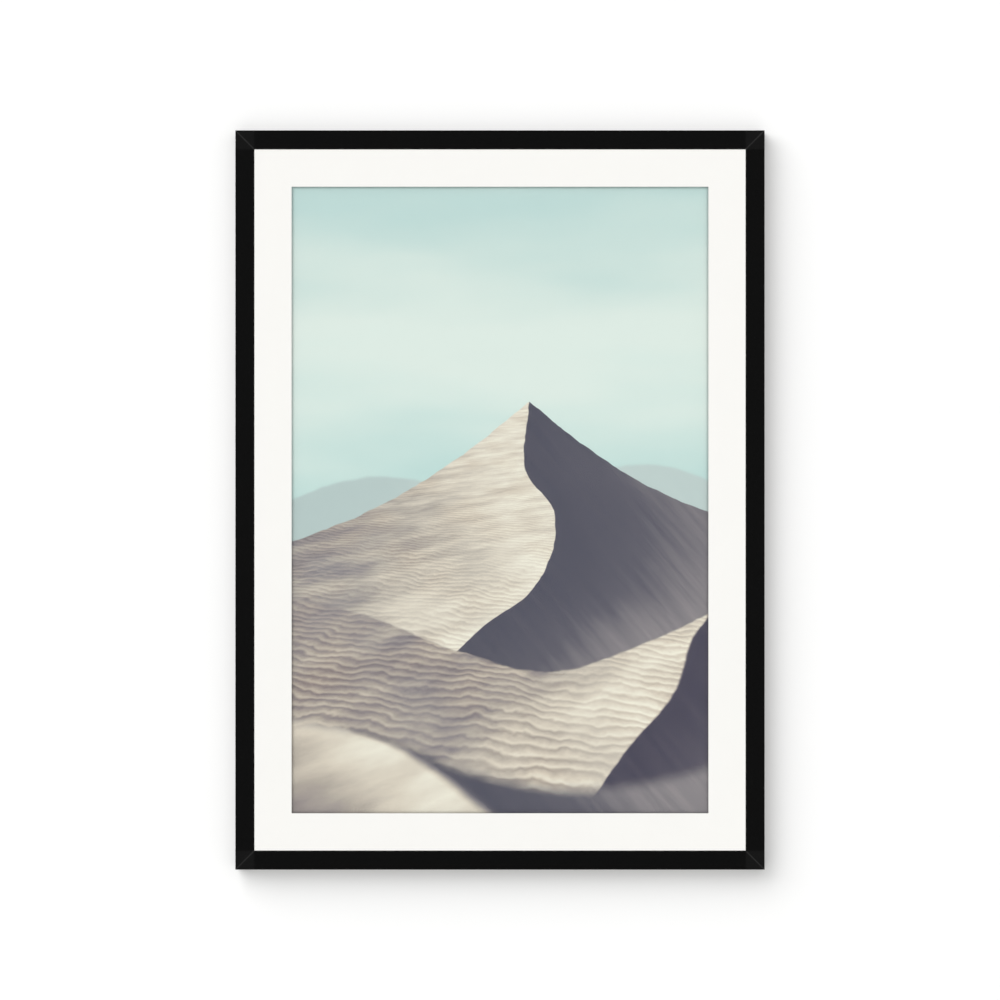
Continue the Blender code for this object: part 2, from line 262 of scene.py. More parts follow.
def black_lacquer(name, along):
    """Black stained ash under a satin sprayed lacquer, rubbed down so that the open pores only just show.

    The grain follows the axis `along`. The corners are a shade lighter in colour, and a lighter grey line
    along each mitre is a painted highlight.
    """
    material, tree, shader = new_material(name, IOR=1.5, Specular_IOR_Level=0.3)
    place = add_node(tree, "TexCoord").outputs["Object"]
    sides = in_from_sides(tree, place)
    deeper = add_node(tree, "Math", sides, operation="MAXIMUM")

    # Pores of ash are about 0.3 mm wide and 8 mm long
    pores = drawn_out(tree, place, along_grain(along, 8 * MM, 0.3 * MM), Detail=2.0, Roughness=0.6)
    # The spray's own texture, under a millimetre
    spray = add_node(tree, "TexNoise", {"Vector": place, "Scale": 1 / (0.8 * MM), "Detail": 2.0})

    tone = add_node(tree, "Mix", [pores, linear("#0C0C0C"), linear("#101010")], data_type="RGBA")
    # The corner squares are a shade lighter in colour than the rest of the face
    corner_blend = 0.4 * MM
    corner_span = [deeper, FACE_WIDTH + corner_blend, FACE_WIDTH - corner_blend, 0.0, 1.0]
    in_corner = add_node(tree, "MapRange", corner_span)
    corner = add_node(tree, "Mix", [in_corner, tone, linear("#161616")], data_type="RGBA")
    # A lighter grey line along each mitre: a painted highlight on the joint's eased edges
    on_mitre = add_node(tree, "MapRange", [off_mitre(tree, sides), 0.2 * MM, 0.95 * MM, 1.0, 0.0])
    painted_mitre_highlight = add_node(tree, "Math", [in_corner, on_mitre], operation="MULTIPLY")
    colour = add_node(tree, "Mix", [painted_mitre_highlight, corner, linear("#303030")], data_type="RGBA")
    tree.links.new(colour.outputs[2], shader.inputs["Base Color"])

    gloss = add_node(tree, "MapRange", [spray, 0.3, 0.7, 0.27, 0.34])
    tree.links.new(gloss.outputs[0], shader.inputs["Roughness"])
    bump = add_node(tree, "Bump", {"Strength": 0.12, "Distance": 0.05 * MM, "Height": pores})
    bump = add_node(tree, "Bump", {"Strength": 0.1, "Distance": 0.04 * MM, "Height": spray, "Normal": bump})
    tree.links.new(bump.outputs[0], shader.inputs["Normal"])
    return material


def raw_wood(name, along):
    """Planed, unfinished ash at the back of the rails: pale straw bands with darker latewood lines.

    Black overspray fades in from the outer sides.
    """
    material, tree, shader = new_material(name, Roughness=0.75, Specular_IOR_Level=0.25)
    place = add_node(tree, "TexCoord").outputs["Object"]
    # Growth rings 3 mm apart, drawn out along the rail
    rings = drawn_out(tree, place, along_grain(along, 120 * MM, 3 * MM), Detail=4.0, Roughness=0.6)
    lines = add_node(tree, "Math", [rings, 9.0], operation="MULTIPLY")
    lines = add_node(tree, "Math", [lines, 1.0], operation="PINGPONG")
    ramp = add_node(tree, "ValToRGB", [lines])
    set_stops(ramp.color_ramp, ((0.0, "#B08A5E"), (0.35, "#CDAA7C"), (1.0, "#DCC096")))
    pores = drawn_out(tree, place, along_grain(along, 6 * MM, 0.25 * MM), Detail=2.0)
    dark = add_node(tree, "MapRange", [pores, 0.35, 0.5, 0.55, 0.0])
    grained = add_node(tree, "Mix", [dark, ramp, linear("#8A6843")], data_type="RGBA")
    sides = in_from_sides(tree, place)
    glue_line = add_node(tree, "MapRange", [off_mitre(tree, sides), 0.15 * MM, 0.45 * MM, 0.75, 0.0])
    glued = add_node(tree, "Mix", [glue_line, grained, linear("#5A4028")], data_type="RGBA")

    # The overspray is a fine stipple that thins out 4 mm in, and it wanders a little along the rail
    from_side = add_node(tree, "Math", sides, operation="MINIMUM")
    wander = add_node(tree, "TexNoise", {"Vector": place, "Scale": 1 / (22 * MM), "Detail": 3.0})
    reach = add_node(tree, "MapRange", [wander, 0.3, 0.7, -1.0 * MM, 1.0 * MM])
    wavy = add_node(tree, "Math", [from_side, reach], operation="ADD")
    fade = [wavy, 0.4 * MM, 4.4 * MM, 1.0, 0.0]
    cover = add_node(tree, "MapRange", fade, interpolation_type="SMOOTHSTEP")
    droplets = add_node(tree, "TexNoise", {"Vector": place, "Scale": 1 / (0.35 * MM), "Detail": 2.0})
    above = add_node(tree, "Math", [cover, droplets], operation="SUBTRACT")
    sprayed = add_node(tree, "MapRange", [above, -0.3, 0.3, 0.0, 0.96])
    colour = add_node(tree, "Mix", [sprayed, glued, linear("#141414")], data_type="RGBA")
    tree.links.new(colour.outputs[2], shader.inputs["Base Color"])
    bump = add_node(tree, "Bump", {"Strength": 0.5, "Distance": 0.1 * MM, "Height": pores})
    tree.links.new(bump.outputs[0], shader.inputs["Normal"])
    return material


def clear_acrylic():
    """Cast acrylic sheet with polished faces: clear, with the faintest haze in its gloss."""
    material, _, _ = new_material(
        "clear_acrylic",
        Base_Color=(1.0, 1.0, 1.0, 1.0),
        Transmission_Weight=1.0,
        IOR=1.49,
        Roughness=0.02,
    )
    return material


def mat_board():
    """Mat board: a warm white paper face with a faint tooth, and a black core that shows at the cut."""
    material, tree, shader = new_material("white_mat_board", Roughness=0.9, Specular_IOR_Level=0.15)
    place = add_node(tree, "TexCoord").outputs["Object"]
    paper = {"Vector": place, "Scale": 1 / (0.7 * MM), "Detail": 3.0, "Roughness": 0.6}
    tooth = add_node(tree, "TexNoise", paper)
    cloud = add_node(tree, "TexNoise", {"Vector": place, "Scale": 1 / (40 * MM), "Detail": 2.0})
    face = add_node(tree, "Mix", [cloud, linear("#F3F2EF"), linear("#F5F4F1")], data_type="RGBA")
    _, y, _ = add_node(tree, "SeparateXYZ", [place]).outputs
    face_paper = MAT_LOW.y + 0.1 * MM  # where the facing paper ends
    in_core = add_node(tree, "MapRange", [y, face_paper, face_paper + 0.1 * MM, 0.0, 1.0])
    colour = add_node(tree, "Mix", [in_core, face, linear("#141414")], data_type="RGBA")
    tree.links.new(colour.outputs[2], shader.inputs["Base Color"])
    bump = add_node(tree, "Bump", {"Strength": 0.25, "Distance": 0.03 * MM, "Height": tooth})
    tree.links.new(bump.outputs[0], shader.inputs["Normal"])
    return material


def printed_paper():
    """Matt art paper with a pigment print of dunes under a hazy sky. The ink dulls the paper's tooth."""
    material, tree, shader = new_material("printed_paper", Specular_IOR_Level=0.2, Roughness=0.8)
    place = add_node(tree, "TexCoord").outputs["Object"]
    picture = paint_dunes(tree, place)
    # The picture is painted darker in its last 3 mm before the mat, the same on all four sides: painted
    # shade from the mat's cut
    nearest_side = add_node(tree, "Math", in_from_sides(tree, place), operation="MINIMUM")
    last = [nearest_side, WINDOW_INSET, WINDOW_INSET + 3 * MM, 0.2, 0.0]
    painted_window_shade = add_node(tree, "MapRange", last, interpolation_type="SMOOTHSTEP")
    colour = add_node(tree, "Mix", [painted_window_shade, picture, linear("#1E2024")], data_type="RGBA")
    tree.links.new(colour.outputs[2], shader.inputs["Base Color"])
    tooth = add_node(tree, "TexNoise", {"Vector": place, "Scale": 1 / (0.4 * MM), "Detail": 2.0})
    bump = add_node(tree, "Bump", {"Strength": 0.15, "Distance": 0.02 * MM, "Height": tooth})
    tree.links.new(bump.outputs[0], shader.inputs["Normal"])
    return material


def hardboard():
    """Wet-process hardboard: brown wood fibre pressed on a wire screen, whose mesh stays on this side."""
    material, tree, shader = new_material("hardboard", Roughness=0.8, Specular_IOR_Level=0.25)
    place = add_node(tree, "TexCoord").outputs["Object"]
    x, _, z = add_node(tree, "SeparateXYZ", [place]).outputs
    waves = []
    wire_spacing = 1.6 * MM
    for coordinate in (x, z):
        phase = add_node(tree, "Math", [coordinate, math.tau / wire_spacing], operation="MULTIPLY")
        waves.append(add_node(tree, "Math", [phase], operation="SINE"))
    screen = add_node(tree, "Math", waves, operation="MAXIMUM")
    pulp = {"Vector": place, "Scale": 1 / (1.2 * MM), "Detail": 5.0, "Roughness": 0.7, "Distortion": 1.2}
    fibres = add_node(tree, "TexNoise", pulp)
    damp = {"Vector": place, "Scale": 1 / (70 * MM), "Detail": 5.0, "Roughness": 0.6}
    patches = add_node(tree, "TexNoise", damp)
    ramp = add_node(tree, "ValToRGB", [fibres])
    set_stops(ramp.color_ramp, ((0.3, "#5A3F2A"), (0.5, "#7A573B"), (0.72, "#97714F")))
    tone = add_node(tree, "MapRange", [patches, 0.35, 0.65, 0.0, 0.5])
    darker = add_node(tree, "Mix", [tone, ramp, linear("#5F422C")], data_type="RGBA")
    # Pale rubs, a few centimetres long, where boards have slid over each other in the stack
    strokes = drawn_out(tree, place, (90 * MM, 1 * MM, 1.2 * MM), turn=(0, 0.5, 0), Detail=2.0)
    rubbed = add_node(tree, "MapRange", [strokes, 0.7, 0.8, 0.0, 0.3])
    warm = add_node(tree, "Mix", [rubbed, darker, linear("#A98260")], data_type="RGBA")
    # The screen's grooves, sunk by the bump below, are also painted darker: painted shade in them
    painted_pit_shade = add_node(tree, "MapRange", [screen, -0.2, 1.0, 0.0, 0.45])
    colour = add_node(tree, "Mix", [painted_pit_shade, warm, linear("#4A3322")], data_type="RGBA")
    tree.links.new(colour.outputs[2], shader.inputs["Base Color"])
    bump = add_node(tree, "Bump", {"Strength": 0.6, "Distance": 0.15 * MM, "Height": screen}, invert=True)
    bump = add_node(tree, "Bump", {"Strength": 0.3, "Distance": 0.1 * MM, "Height": fibres, "Normal": bump})
    tree.links.new(bump.outputs[0], shader.inputs["Normal"])
    return material


def zinc_plated_steel():
    """Stamped mild steel with bright zinc plating: cool grey, with cloudy patches and fine rolling marks."""
    material, tree, shader = new_material("zinc_plated_steel", Metallic=1.0)
    place = add_node(tree, "TexCoord").outputs["Object"]
    plating = {"Vector": place, "Scale": 1 / (3 * MM), "Detail": 3.0, "Roughness": 0.6}
    cloud = add_node(tree, "TexNoise", plating)
    colour = add_node(tree, "Mix", [cloud, linear("#B9BDC0"), linear("#D5D6D4")], data_type="RGBA")
    tree.links.new(colour.outputs[2], shader.inputs["Base Color"])
    rolled = drawn_out(tree, place, (4 * MM, 0.1 * MM, 0.1 * MM), Detail=2.0)
    rough = add_node(tree, "MapRange", [rolled, 0.3, 0.7, 0.26, 0.42])
    tree.links.new(rough.outputs[0], shader.inputs["Roughness"])
    bump = add_node(tree, "Bump", {"Strength": 0.2, "Distance": 0.01 * MM, "Height": rolled})
    tree.links.new(bump.outputs[0], shader.inputs["Normal"])
    return material


def grey_felt():
    """Pressed wool felt: soft mid grey, mottled by its crossed fibres."""
    material, tree, shader = new_material(
        "grey_felt", Roughness=1.0, Specular_IOR_Level=0.1, Sheen_Weight=0.3
    )
    place = add_node(tree, "TexCoord").outputs["Object"]
    matted = {"Vector": place, "Scale": 1 / (0.5 * MM), "Detail": 4.0, "Roughness": 0.75, "Distortion": 2.0}
    fibres = add_node(tree, "TexNoise", matted)
    ramp = add_node(tree, "ValToRGB", [fibres])
    set_stops(ramp.color_ramp, ((0.3, "#4E4F51"), (0.55, "#6B6C6E"), (0.75, "#8C8D8E")))
    tree.links.new(ramp.outputs[0], shader.inputs["Base Color"])
    bump = add_node(tree, "Bump", {"Strength": 0.8, "Distance": 0.2 * MM, "Height": fibres})
    tree.links.new(bump.outputs[0], shader.inputs["Normal"])
    return material


# ---------------------------------------------------------------- the print's picture

# Places in the picture are in picture widths: 0, 0 is its middle, and it reaches 0.5 across and 0.75 up.
HALF_HEIGHT = 0.75
VANISHING_HEIGHT = 0.42  # the level where the sand's ripples would meet

# Skylines run from the left edge to the right as (across, up); crests run from the bottom up as (up, across)
FAR_DUNE = ((-0.5, 0.0), (-0.3, 0.055), (-0.1, 0.03), (0.12, 0.03), (0.33, 0.085), (0.5, 0.045))
FAR_CREST = ((-0.75, -0.5), (0.75, -0.5))
GREAT_DUNE = (
    (-0.5, -0.1),
    (-0.3, -0.02),
    (-0.1, 0.1),
    (0.07, 0.235, "peak"),
    (0.2, 0.13),
    (0.36, 0.03),
    (0.5, -0.03),
)
GREAT_CREST = (
    (-0.75, -0.22),
    (-0.5, -0.2),
    (-0.32, -0.06),
    (-0.18, 0.1),
    (-0.04, 0.13),
    (0.08, 0.06),
    (0.235, 0.07),
    (0.75, 0.07),
)
NEAR_DUNE = ((-0.5, -0.24), (-0.34, -0.27), (-0.1, -0.36), (0.12, -0.41), (0.3, -0.36), (0.5, -0.27))
NEAR_CREST = ((-0.75, 0.2), (-0.6, 0.3), (-0.45, 0.42), (-0.33, 0.46), (-0.27, 0.5), (0.75, 0.5))
BLURRED_BANK = ((-0.5, -0.53), (-0.3, -0.565), (-0.05, -0.655), (0.2, -0.69), (0.5, -0.64))
BANK_CREST = ((-0.75, -0.02), (-0.6, -0.22), (-0.5, -0.4), (0.75, -0.5))

SKY_COLOURS = (
    (0.0, "#A9CFCF"),
    (0.25, "#B3D4D0"),
    (0.45, "#C9DFD9"),
    (0.62, "#DEE9E1"),
    (0.8, "#C9DDD7"),
    (1.0, "#B4D2CF"),
)
SAND_COLOURS = (
    (0.0, "#322F46"),
    (0.2, "#4B4756"),
    (0.42, "#837D80"),
    (0.58, "#AAA298"),
    (0.78, "#D5CDBD"),
    (1.0, "#F1EFDF"),
)


def paint_dunes(tree, place):
    """The picture's colour: dunes, one in front of the other, below a hazy sky."""
    width = PRINT_HIGH.x - PRINT_LOW.x
    picture = add_node(
        tree,
        "Mapping",
        {"Vector": place, "Location": (0, 0, MIDDLE_Z), "Scale": (width, width, width)},
        vector_type="TEXTURE",
    )
    across, _, up = add_node(tree, "SeparateXYZ", [picture]).outputs
    colour = paint_sky(tree, across, up)
    for skyline, crest, haze, blur, ripples in (
        (FAR_DUNE, FAR_CREST, 0.74, 0.006, 0.0),
        (GREAT_DUNE, GREAT_CREST, 0.03, 0.0012, 1.0),
        (NEAR_DUNE, NEAR_CREST, 0.0, 0.0035, 1.0),
        (BLURRED_BANK, BANK_CREST, 0.03, 0.022, 0.0),
    ):
        colour = paint_dune(tree, across, up, colour, skyline, crest, haze, blur, ripples)
    return colour


def paint_sky(tree, across, up):
    """A hazy sky, palest in a band above its middle, with soft wide drifts."""
    flat = add_node(tree, "CombineXYZ", [across, up, 0.0])
    bands = drawn_out(tree, flat, (1 / 1.3, 1 / 5.5, 1.0), Detail=3.0, Roughness=0.45)
    shift = add_node(tree, "MapRange", [bands, 0.25, 0.75, -0.16, 0.16])
    height = add_node(tree, "Math", [up, shift], operation="ADD")
    share = add_node(tree, "MapRange", [height, -0.3, 0.75, 0.0, 1.0])
    ramp = add_node(tree, "ValToRGB", [share])
    ramp.color_ramp.interpolation = "B_SPLINE"
    set_stops(ramp.color_ramp, SKY_COLOURS)
    return ramp.outputs[0]


def height_of(tree, value, half_range, points, out_half):
    """A value's curve: both it and the points' first numbers run from -half_range to half_range."""
    share = add_node(tree, "MapRange", [value, -half_range, half_range, 0.0, 1.0])
    curve = add_node(tree, "FloatCurve", {"Value": share})
    spread = [((at / half_range + 1) / 2, (out / out_half + 1) / 2, *kind) for at, out, *kind in points]
    set_points(curve, spread)
    return add_node(tree, "MapRange", [curve, 0.0, 1.0, -out_half, out_half])


def paint_dune(tree, across, up, behind, skyline, crest, haze, blur, ripples):
    """Lays one dune over the colour behind it. The sun is low on the left: the crest parts light from shade.

    `haze` and `ripples` are from 0 to 1, and `blur` is half the width of the dune's soft edge.
    """
    flat = add_node(tree, "CombineXYZ", [across, up, 0.0])
    crumble = add_node(tree, "TexNoise", {"Vector": flat, "Scale": 22.0, "Detail": 3.0, "Roughness": 0.6})
    uneven = add_node(tree, "MapRange", [crumble, 0.3, 0.7, -0.0025, 0.0025])
    top = height_of(tree, across, 0.5, skyline, HALF_HEIGHT)
    top = add_node(tree, "Math", [top, uneven], operation="ADD")
    below_top = add_node(tree, "Math", [top, up], operation="SUBTRACT")
    step = [below_top, -blur, blur, 0.0, 1.0]
    inside = add_node(tree, "MapRange", step, interpolation_type="SMOOTHSTEP")
    edge = height_of(tree, up, HALF_HEIGHT, crest, 0.5)
    edge = add_node(tree, "Math", [edge, uneven], operation="ADD")
    sunward = add_node(tree, "Math", [edge, across], operation="SUBTRACT")
    step = [sunward, -1.5 * blur, 1.5 * blur, 0.0, 1.0]
    in_sun = add_node(tree, "MapRange", step, interpolation_type="SMOOTHSTEP")

    # The ground as it recedes: near things are large and far things are fine
    below_vanishing = add_node(tree, "Math", [VANISHING_HEIGHT, up], operation="SUBTRACT")
    far_away = add_node(tree, "Math", [1.0, below_vanishing], operation="DIVIDE")
    sideways = add_node(tree, "Math", [across, far_away], operation="MULTIPLY")
    ground = add_node(tree, "CombineXYZ", [sideways, far_away, 0.0])

    # Wind ripples wander and fork, lie deeper in some places, and fade out with distance
    wander = add_node(tree, "TexNoise", {"Vector": ground, "Scale": 5.0, "Detail": 4.0, "Roughness": 0.58})
    rows = add_node(tree, "VectorMath", [ground, (34.0, 255.0, 0.0)], operation="DOT_PRODUCT")
    bend = add_node(tree, "Math", [wander, 28.0], operation="MULTIPLY")
    phase = add_node(tree, "Math", [rows.outputs["Value"], bend], operation="ADD")
    lean = add_node(tree, "Math", [phase], operation="SINE")
    leaning = add_node(tree, "Math", [lean, 0.55, phase], operation="MULTIPLY_ADD")  # steep lee sides
    wave = add_node(tree, "Math", [leaning], operation="SINE")
    nearness = add_node(tree, "MapRange", [below_vanishing, 0.2, 1.0, 0.2, 1.0])
    patchy = add_node(tree, "TexNoise", {"Vector": ground, "Scale": 3.1, "Detail": 2.0})
    depth = add_node(tree, "MapRange", [patchy, 0.32, 0.66, 0.25, 1.25])
    depth = add_node(tree, "Math", [depth, nearness], operation="MULTIPLY")
    relief = add_node(tree, "Math", [wave, depth], operation="MULTIPLY")

    # Sand that drifts in soft sheets across the sunny side, and runs down the shady one
    drift = drawn_out(tree, ground, (0.33, 0.11, 1.0), turn=(0, 0, 0.35), Detail=5.0, Roughness=0.6)
    drifted = add_node(tree, "MapRange", [drift, 0.3, 0.7, -0.14, 0.14])
    runs = drawn_out(tree, flat, (0.3, 0.02, 1.0), turn=(0, 0, -0.87), Detail=5.0, Roughness=0.62)
    run_down = add_node(tree, "MapRange", [runs, 0.3, 0.7, -0.055, 0.055])
    grain = add_node(tree, "TexNoise", {"Vector": flat, "Scale": 260.0, "Detail": 3.0, "Roughness": 0.9})
    contrast = add_node(tree, "MapRange", [in_sun, 0.0, 1.0, 0.02, 0.2])
    centred = add_node(tree, "Math", [grain, 0.5], operation="SUBTRACT")
    speckle = add_node(tree, "Math", [centred, contrast], operation="MULTIPLY")

    fade = [sunward, 0.0, 0.55, 0.84, 0.5]
    from_crest = add_node(tree, "MapRange", fade, interpolation_type="SMOOTHSTEP")
    lit = add_node(tree, "Math", [relief, 0.13 * ripples, from_crest], operation="MULTIPLY_ADD")
    lit = add_node(tree, "Math", [lit, drifted], operation="ADD")
    fade = [sunward, 0.0, -0.5, 0.05, 0.4]
    shade = add_node(tree, "MapRange", fade, interpolation_type="SMOOTHSTEP")
    shade = add_node(tree, "Math", [shade, run_down], operation="ADD")
    tone = add_node(tree, "Mix", [in_sun, shade, lit], data_type="FLOAT")
    tone = add_node(tree, "Math", [tone, speckle], operation="ADD")
    ramp = add_node(tree, "ValToRGB", [tone])
    set_stops(ramp.color_ramp, SAND_COLOURS)
    ochre = add_node(tree, "MapRange", [patchy, 0.42, 0.7, 0.0, 0.22])
    ochre = add_node(tree, "Math", [ochre, in_sun], operation="MULTIPLY")
    warmed = add_node(tree, "Mix", [ochre, ramp, linear("#B79F84")], data_type="RGBA")
    hazed = add_node(tree, "Mix", [haze, warmed, linear("#C6DCD8")], data_type="RGBA")
    laid = add_node(tree, "Mix", [inside, behind, hazed], data_type="RGBA")
    return laid.outputs[2]


# ---------------------------------------------------------------- pieces


def long_edges(bm, places):
    """The edges along the rail at these (y, z) places of its section."""
    found = []
    for edge in bm.edges:
        a, b = (vert.co for vert in edge.verts)
        if abs(a.x - b.x) < FACE_WIDTH * 2:
            continue
        if any(abs(a.y - y) < SAME_PLACE and abs(a.z - z) < SAME_PLACE for y, z in places):
            found.append(edge)
    return found


def rail_shape(side):
    """One rail in its place: an L section, cut to tight mitres, its outer and sight edges rubbed round."""
    lying = side in ("top", "bottom")
    length = FRAME_SIZE.x if lying else FRAME_SIZE.z
    depth = FRAME_SIZE.y
    section = (
        (0, 0),
        (depth, 0),
        (depth, -RAIL_WALL),
        (LIP_THICK, -RAIL_WALL),
        (LIP_THICK, -FACE_WIDTH),
        (0, -FACE_WIDTH),
    )
    bm = bmesh.new()
    end = bm.faces.new([bm.verts.new((-length / 2, y, z)) for y, z in section])
    grown = bmesh.ops.extrude_face_region(bm, geom=[end])["geom"]
    far = [item for item in grown if isinstance(item, bmesh.types.BMVert)]
    bmesh.ops.translate(bm, verts=far, vec=(length, 0, 0))
    for vert in bm.verts:
        vert.co.x -= math.copysign(vert.co.z, vert.co.x)
    bmesh.ops.recalc_face_normals(bm, faces=bm.faces)
    in_sight = ((0, 0), (0, -FACE_WIDTH))
    at_back = ((depth, 0), (depth, -RAIL_WALL), (LIP_THICK, -FACE_WIDTH))
    ease(bm, long_edges(bm, in_sight), ARRIS, ARRIS_FACES)
    ease(bm, long_edges(bm, at_back), BACK_ARRIS, BACK_ARRIS_FACES)
    mitred = [face for face in bm.faces if len(face.verts) > len(section) + 2]  # the two whole end faces
    mitred = [face for face in mitred if abs(abs(face.normal.x) - math.sqrt(0.5)) < 0.01]
    ease(bm, {edge for face in mitred for edge in face.edges}, MITRE_GROOVE, 1)
    for face in bm.faces:
        middle = face.calc_center_median()
        face.material_index = int(middle.y > 0.75 * LIP_THICK and middle.z < -MITRE_GROOVE)

    turns = {"top": 0, "right": 90, "bottom": 180, "left": 270}
    reach = (FRAME_SIZE.z if lying else FRAME_SIZE.x) / 2
    turned = Matrix.Rotation(math.radians(turns[side]), 4, "Y")
    middle = Vector((0, FRAME_LOW.y, MIDDLE_Z)) + turned @ Vector((0, 0, reach))
    bmesh.ops.transform(bm, matrix=Matrix.Translation(middle) @ turned, verts=bm.verts)
    return bm


def steel_seats(side):
    """Boxes and holes where this rail's V-nails, board points and hanger nails are driven in."""
    bm = bmesh.new()
    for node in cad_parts:
        low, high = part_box(node)
        low, high = low - Vector((DRIVEN_GAP,) * 3), high + Vector((DRIVEN_GAP,) * 3)
        if node.startswith("v_nail") and side in node:
            # The nail's box spans both of its wings, and this rail holds the one along it
            strip = V_NAIL_THICK + 2 * DRIVEN_GAP
            high.y = FRAME_HIGH.y + 1 * MM
            if side == "top":
                low.z = high.z - strip
            elif side == "bottom":
                high.z = low.z + strip
            elif side == "left":
                high.x = low.x + strip
            else:
                low.x = high.x - strip
            add_box(bm, low, high)
        elif node.startswith(f"flexi_point_{side}"):
            add_box(bm, low, high)
        elif node.startswith("hanger_nail") and side == "top":
            add_pin(bm, low, high, NAIL_SHANK + DRIVEN_GAP, NAIL_SIDES)
    for face in bm.faces:
        face.material_index = 1
    return bm


def build_rails():
    """The four rails, lacquered in front and raw behind, with seats for the steel cut into them."""
    lacquers = {axis: black_lacquer(f"black_lacquered_wood_{axis}", axis) for axis in "xz"}
    woods = {axis: raw_wood(f"raw_wood_{axis}", axis) for axis in "xz"}
    for side, axis in (("top", "x"), ("right", "z"), ("bottom", "x"), ("left", "z")):
        name = f"lacquered_rail_{side}"
        finishes = (lacquers[axis], woods[axis])
        solid = bpy.data.objects.new(name, mesh_from(name, rail_shape(side), *finishes))
        cutter = bpy.data.objects.new(f"{name}_seats", mesh_from(name, steel_seats(side), *finishes))
        for made in (solid, cutter):
            bpy.context.scene.collection.objects.link(made)
        cut = solid.modifiers.new("seats", "BOOLEAN")
        cut.operation = "DIFFERENCE"
        cut.solver = "EXACT"
        cut.object = cutter
        bm = bmesh.new()
        bm.from_object(solid, bpy.context.evaluated_depsgraph_get())
        bmesh.ops.remove_doubles(bm, verts=bm.verts, dist=SAME_PLACE)
        bmesh.ops.dissolve_limit(
            bm, angle_limit=CUT_ANGLE, verts=bm.verts, edges=bm.edges, delimit={"MATERIAL"}
        )
        bmesh.ops.dissolve_degenerate(bm, dist=SAME_PLACE, edges=bm.edges)
        for made in (solid, cutter):
            bpy.data.objects.remove(made)
        rail = new_piece(name, mesh_from(name, bm, *finishes), "black_lacquered_wood", f"rail_{side}")
        # The lip throws no shade on the lit mat: stage_ring throws the frame's shade on the wall instead
        rail.visible_shadow = False
        rail.visible_diffuse = False


def build_hardware():
    """Steel with its stamped and sheared edges eased, in the places of the CAD pieces."""
    steel = zinc_plated_steel()
    for node in list(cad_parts):
        for start, width in STEEL_ARRIS:
            if node.startswith(start):
                mesh = mesh_from(f"steel_{node}", softened_copy(node, width), steel)
                new_piece(f"steel_{node}", mesh, "zinc_plated_steel", node)
                break


def build_pads():
    """Felt discs, die-cut from sheet: domed at the rim, with a fuzzy, slightly lumpy face."""
    felt = grey_felt()
    for hand in ("left", "right"):
        node = f"bumper_{hand}"
        low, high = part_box(node)
        thick = high.y - low.y
        bm = bmesh.new()
        add_pin(bm, low, high, (high.x - low.x) / 2, FELT_SIDES)
        walls = [edge for edge in bm.edges if abs(edge.verts[0].co.y - edge.verts[1].co.y) > thick / 2]
        bmesh.ops.subdivide_edges(bm, edges=walls, cuts=FELT_LAYERS)
        at_back = {vert for vert in bm.verts if abs(vert.co.y - high.y) < SAME_PLACE}
        rim = [edge for edge in bm.edges if at_back.issuperset(edge.verts)]
        ease(bm, rim, FELT_RIM, FELT_RIM_FACES)
        caps = [face for face in bm.faces if len(face.verts) == FELT_SIDES]
        for _ in range(FELT_RINGS):
            bmesh.ops.inset_region(
                bm, faces=caps, thickness=FELT_RING, use_even_offset=True, use_boundary=True
            )
        bm.normal_update()
        for vert in bm.verts:
            lump = noise.fractal(vert.co / FELT_LUMP, 0.7, 2.0, 3)
            vert.co -= vert.normal * FELT_LUMP_DEPTH * abs(lump)
        mesh = mesh_from(f"felt_{node}", bm, felt)
        new_piece(f"felt_{node}", mesh, "grey_felt", node)


def dress_nodes():
    """Gives each CAD node that stays its finish."""
    for node, material in (
        ("glazing", clear_acrylic()),
        ("mat", mat_board()),
        ("print", printed_paper()),
        ("back_board", hardboard()),
    ):
        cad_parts[node].data.materials.clear()
        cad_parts[node].data.materials.append(material)
    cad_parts["glazing"].visible_shadow = False
    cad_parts["glazing"].visible_diffuse = False


# ---------------------------------------------------------------- stage, light and camera

VIEW_WIDTH = 952.2 * MM  # what the camera frames at the rails' front
LENS = 200.0  # mm
SENSOR = 36.0  # mm
DOME = 0.987  # radiance of the pale room
OBJECT_KEY = 0.11  # what the key adds to a white surface that faces the camera
WALL_KEY = 0.51  # what the wall's own soft key and small fill add to it
WALL_FILL = 0.14

# Metres, unless said otherwise
WALL_REACH = 8.0
WALL_HEIGHT = 1.0  # of its middle
WALL_BEHIND = 0.2 * MM  # behind the pads' faces
WALL_WHITE = 0.69  # albedo
FLOOR_REACH = 20.0
FLOOR_Z = FRAME_LOW.z - 0.35
RING_PLAY = 0.2 * MM  # inside the faces of the rails' walls
RING_COVER = 0.53  # the share of the light that one face of it stops
SCREEN_RADIUS = 8.0
SCREEN_HEIGHT = 14.0
SCREEN_SIDES = 64
SCREEN_OPEN_FROM = -5.1  # it is open in front of this Y
SCREEN_GLOW = (-2.2, 1.2, 0.42, 1.05)  # from one height to another, and how bright it is at each


def stage_piece(name, bm, material):
    """A piece of the stage, which isn't part of the object."""
    made = bpy.data.objects.new(name, mesh_from(name, bm, material))
    bpy.context.scene.collection.objects.link(made)
    return made


